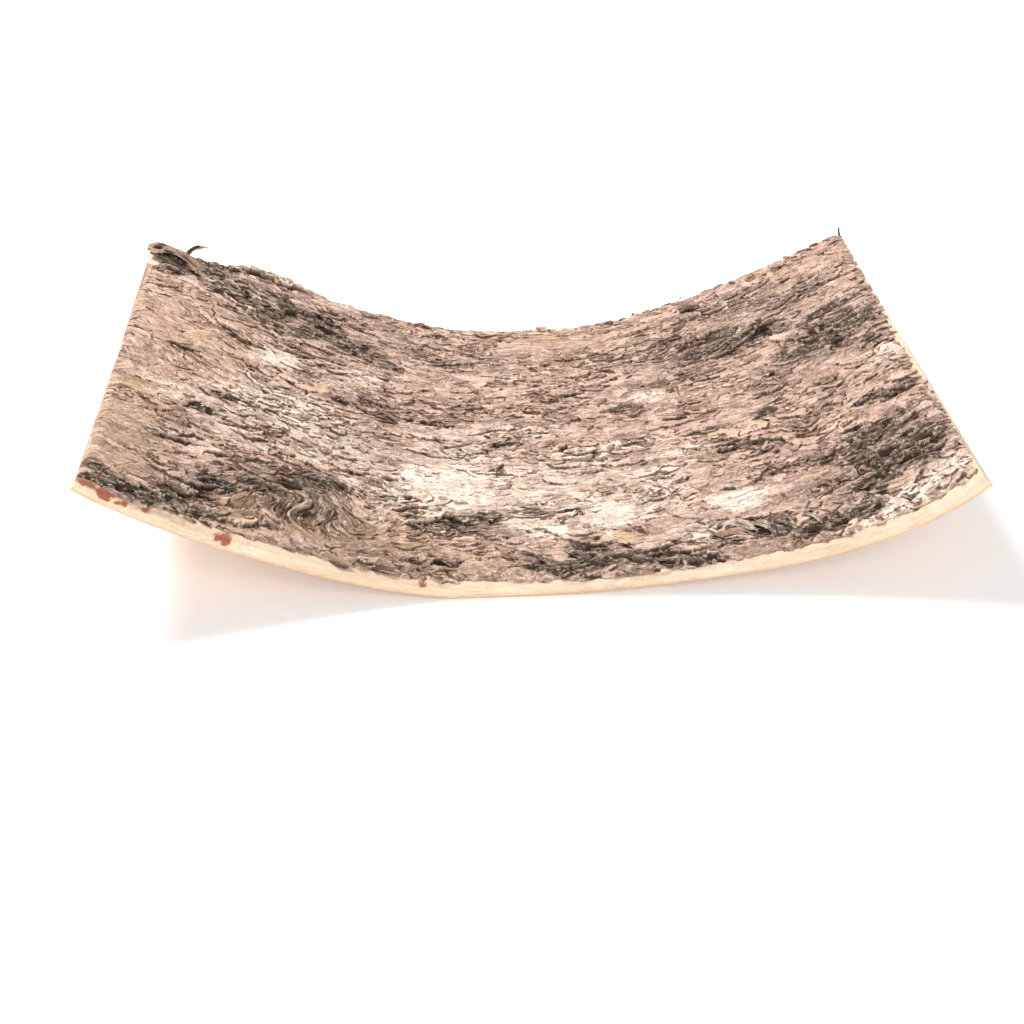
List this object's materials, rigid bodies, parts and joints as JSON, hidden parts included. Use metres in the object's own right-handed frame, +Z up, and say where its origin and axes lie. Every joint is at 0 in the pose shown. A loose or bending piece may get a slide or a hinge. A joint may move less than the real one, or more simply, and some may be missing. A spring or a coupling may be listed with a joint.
{
  "type": "piece of bark",
  "caption": "Curled rectangular sheet of dried tree bark with a rough, flaky outer side facing up and pale cut edges; it rests on its rounded belly.",
  "frame": {"origin": "centre of the bounding box on the resting plane, under the middle of the sheet", "axes": "+X along the sheet's curl, which is also its longest side; +Y across it, towards the back edge; +Z up, out of the rough outer side"},
  "size_m": [0.288, 0.1999, 0.0502],
  "materials": {
    "bark": "rough, dry, matt outer bark with grey-brown flaking layers; smooth tan inner face and cream cut edges"
  },
  "bodies": {
    "root": {"bark_sheet": "bark"}
  },
  "joints": []
}
